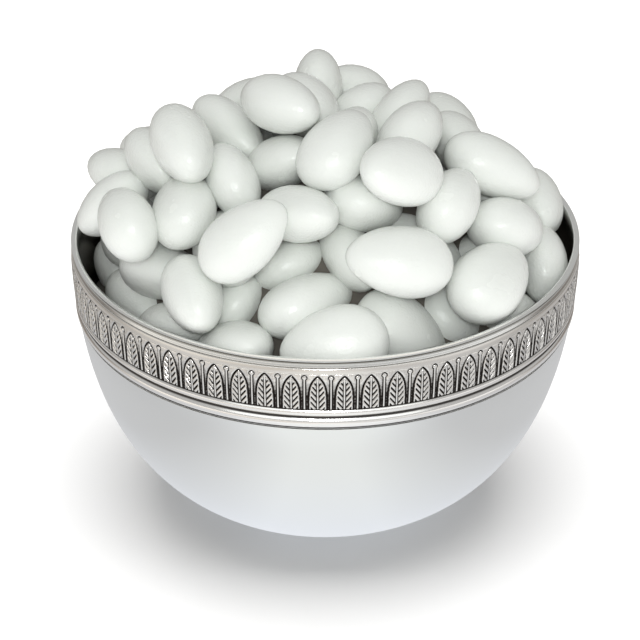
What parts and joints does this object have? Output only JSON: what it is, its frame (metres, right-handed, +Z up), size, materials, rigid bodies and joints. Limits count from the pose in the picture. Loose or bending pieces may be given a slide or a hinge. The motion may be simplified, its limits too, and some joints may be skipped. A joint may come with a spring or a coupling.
{
  "type": "bowl of sugared almonds",
  "caption": "White sugared almonds heaped above the rim of a round silver bowl with a leaf border under its lip.",
  "frame": {"origin": "middle of the flat foot under the bowl", "axes": "+Z up, -Y towards the picture's camera, +X to the right in the picture"},
  "size_m": [0.1504, 0.1504, 0.1426],
  "materials": {
    "silver": "satin polished silver",
    "oxidised_silver": "chased relief, dark in its recesses",
    "white_sugar_shell": "hard sugar shell, satin with fine pits"
  },
  "bodies": {
    "root": {"bowl": "silver", "rim_border": "oxidised_silver", "almond_heap": "white_sugar_shell"}
  },
  "joints": []
}
